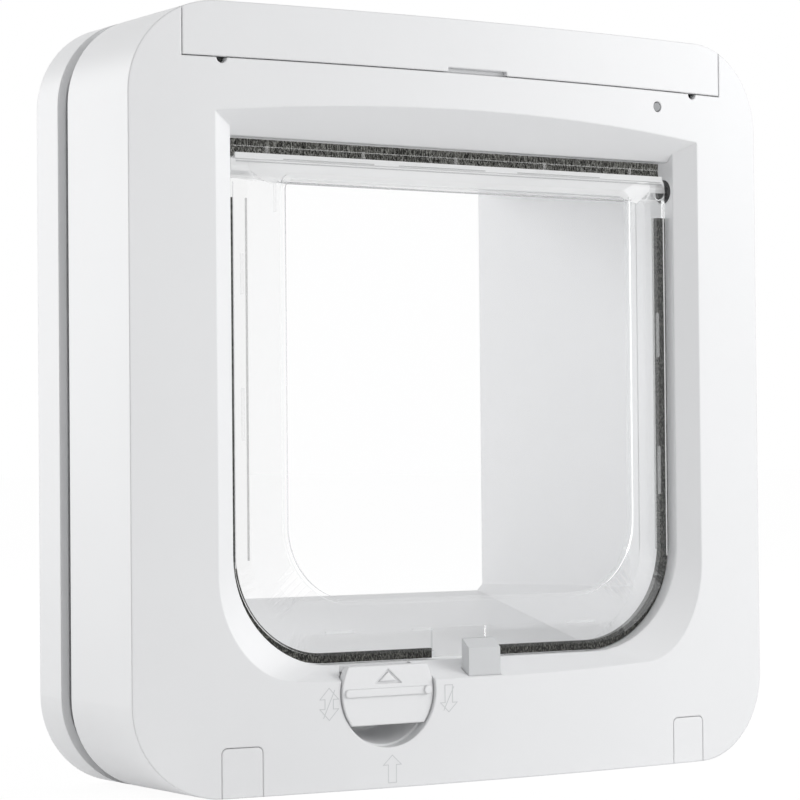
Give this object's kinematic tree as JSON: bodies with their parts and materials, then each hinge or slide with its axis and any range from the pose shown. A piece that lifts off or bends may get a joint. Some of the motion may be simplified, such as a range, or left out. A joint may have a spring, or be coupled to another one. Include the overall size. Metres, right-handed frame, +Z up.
{
  "type": "cat flap",
  "caption": "Square white cat flap with a clear swinging flap in a crowned frame, a turning lock dial, a battery cover and a tunnel through the door.",
  "frame": {"origin": "on the door face that the inner frame sits on, at the middle of the width and level with the bottom of both frames", "axes": "+X across the door, to the right as seen from indoors, +Y through the door towards the outdoors, +Z up"},
  "size_m": [0.21, 0.1086, 0.21],
  "materials": {
    "white_shell": "fine satin texture",
    "clear_panel": "polished clear",
    "draught_pile": "short pile",
    "dark_plastic": "plain moulded",
    "latch_grey": "plain moulded",
    "steel": "zinc plated",
    "cell_sleeve": "plain sleeve",
    "contact_metal": "nickel plated",
    "board_green": "coated board",
    "light_lens": "smoked clear",
    "coil_copper": "enamelled wire"
  },
  "bodies": {
    "frame": {"inner_frame": "white_shell", "back_cover": "white_shell", "tunnel": "white_shell", "outer_frame": "white_shell", "hinge_bushes": "dark_plastic", "latch_motor": "steel", "motor_bracket": "white_shell", "battery_tray": "dark_plastic", "batteries": "cell_sleeve", "battery_contacts": "contact_metal", "circuit_board": "board_green", "status_light": "light_lens", "reader_coil": "coil_copper", "screw_cover_left": "white_shell", "screw_cover_right": "white_shell", "clamp_screws": "steel", "cover_screws": "steel"},
    "flap": {"flap": "clear_panel", "pile_left": "draught_pile", "pile_right": "draught_pile", "pile_top": "draught_pile"},
    "front_latch": {"front_latch": "latch_grey"},
    "motor_crank": {"motor_crank": "latch_grey"},
    "rear_latch": {"rear_latch": "latch_grey"},
    "dial": {"lock_dial": "white_shell", "dial_cam": "dark_plastic", "dial_screw": "steel"},
    "battery_cover": {"battery_cover": "white_shell"},
    "memory_button": {"memory_button": "latch_grey"}
  },
  "joints": [
    {"name": "flap_swing", "type": "hinge", "parent": "frame", "child": "flap", "pos_m": [0, -0.0299, 0.1668], "axis": [1, 0, 0], "range_deg": [-2, 85]},
    {"name": "crank_turn", "type": "hinge", "parent": "frame", "child": "motor_crank", "pos_m": [-0.0052, -0.035, 0.01575], "axis": [0, 1, 0], "range_deg": [0, 60]},
    {"name": "front_latch_slide", "type": "slide", "parent": "frame", "child": "front_latch", "axis": [0, 0, -1], "range_m": [0, 0.0065]},
    {"name": "rear_latch_slide", "type": "slide", "parent": "frame", "child": "rear_latch", "axis": [0, 0, 1], "range_m": [0, 0.0065]},
    {"name": "dial_turn", "type": "hinge", "parent": "frame", "child": "dial", "pos_m": [-0.0307, -0.03, 0.0259], "axis": [0, 1, 0], "range_deg": [0, 270]},
    {"name": "battery_cover_lift", "type": "slide", "parent": "frame", "child": "battery_cover", "axis": [0, -1, 0], "range_m": [0, 0.05]},
    {"name": "memory_button_press", "type": "slide", "parent": "frame", "child": "memory_button", "axis": [0, 0, -1], "range_m": [0, 0.001], "stiffness_N_per_m": 500}
  ],
  "couplings": [
    {"joint": "crank_turn", "follows": "front_latch_slide", "rad_per_m": 161.1}
  ]
}
